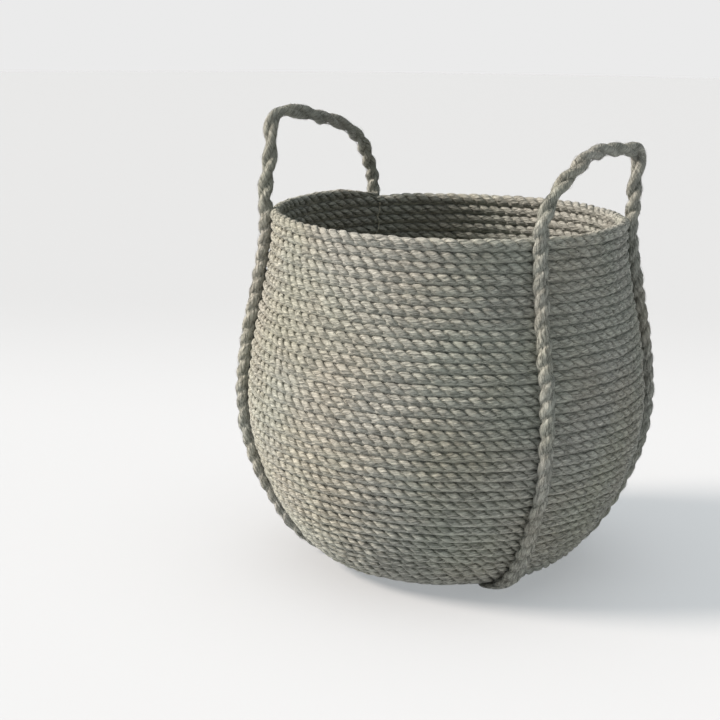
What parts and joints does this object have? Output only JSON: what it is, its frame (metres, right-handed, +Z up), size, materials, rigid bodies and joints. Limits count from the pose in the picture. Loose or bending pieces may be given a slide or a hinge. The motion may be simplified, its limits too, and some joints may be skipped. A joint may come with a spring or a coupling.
{
  "type": "laundry basket",
  "caption": "Round open laundry basket of coiled rope with a bulging wall, and a sling rope that runs down the wall and stands above the rim as two loop handles.",
  "frame": {"origin": "on the floor, at the middle of the base", "axes": "+Z up along the basket's axis, the front is -Y, and the right handle is towards +X"},
  "size_m": [0.482, 0.4494, 0.516],
  "materials": {
    "coil_rope": "matt twisted natural fibre rope, pale greige",
    "sling_rope": "matt twisted natural fibre rope, pale greige",
    "thread": "fine twisted sewing thread, off-white"
  },
  "bodies": {
    "basket": {"base_coil": "coil_rope", "wall_turn_01": "coil_rope", "wall_turn_02": "coil_rope", "wall_turn_03": "coil_rope", "wall_turn_04": "coil_rope", "wall_turn_05": "coil_rope", "wall_turn_06": "coil_rope", "wall_turn_07": "coil_rope", "wall_turn_08": "coil_rope", "wall_turn_09": "coil_rope", "wall_turn_10": "coil_rope", "wall_turn_11": "coil_rope", "wall_turn_12": "coil_rope", "wall_turn_13": "coil_rope", "wall_turn_14": "coil_rope", "wall_turn_15": "coil_rope", "wall_turn_16": "coil_rope", "wall_turn_17": "coil_rope", "wall_turn_18": "coil_rope", "wall_turn_19": "coil_rope", "wall_turn_20": "coil_rope", "wall_turn_21": "coil_rope", "wall_turn_22": "coil_rope", "wall_turn_23": "coil_rope", "wall_turn_24": "coil_rope", "wall_turn_25": "coil_rope", "wall_turn_26": "coil_rope", "wall_turn_27": "coil_rope", "wall_turn_28": "coil_rope", "wall_turn_29": "coil_rope", "wall_turn_30": "coil_rope", "wall_turn_31": "coil_rope", "wall_turn_32": "coil_rope", "wall_turn_33": "coil_rope", "wall_turn_34": "coil_rope", "wall_turn_35": "coil_rope", "wall_turn_36": "coil_rope", "wall_turn_37": "coil_rope", "wall_turn_38": "coil_rope", "sling_leg_right_front": "sling_rope", "sling_leg_right_back": "sling_rope", "sling_leg_left_back": "sling_rope", "sling_leg_left_front": "sling_rope", "leg_stitching_right_front": "thread", "leg_stitching_right_back": "thread", "leg_stitching_left_back": "thread", "leg_stitching_left_front": "thread", "sling_run_front": "sling_rope", "sling_run_back_right": "sling_rope", "sling_run_back_left": "sling_rope", "sling_splice": "thread"},
    "handle_right": {"handle_loop_right": "sling_rope"},
    "handle_left": {"handle_loop_left": "sling_rope"}
  },
  "joints": [
    {"name": "handle_right_bend", "type": "hinge", "parent": "basket", "child": "handle_right", "pos_m": [0.0937, -0.1839, 0.4145], "axis": [0.4924, 0.8704, 0], "range_deg": [-70, 90], "stiffness_Nm_per_rad": 0.12},
    {"name": "handle_left_bend", "type": "hinge", "parent": "basket", "child": "handle_left", "pos_m": [-0.0937, 0.1839, 0.4145], "axis": [-0.4924, -0.8704, 0], "range_deg": [-70, 90], "stiffness_Nm_per_rad": 0.12}
  ]
}
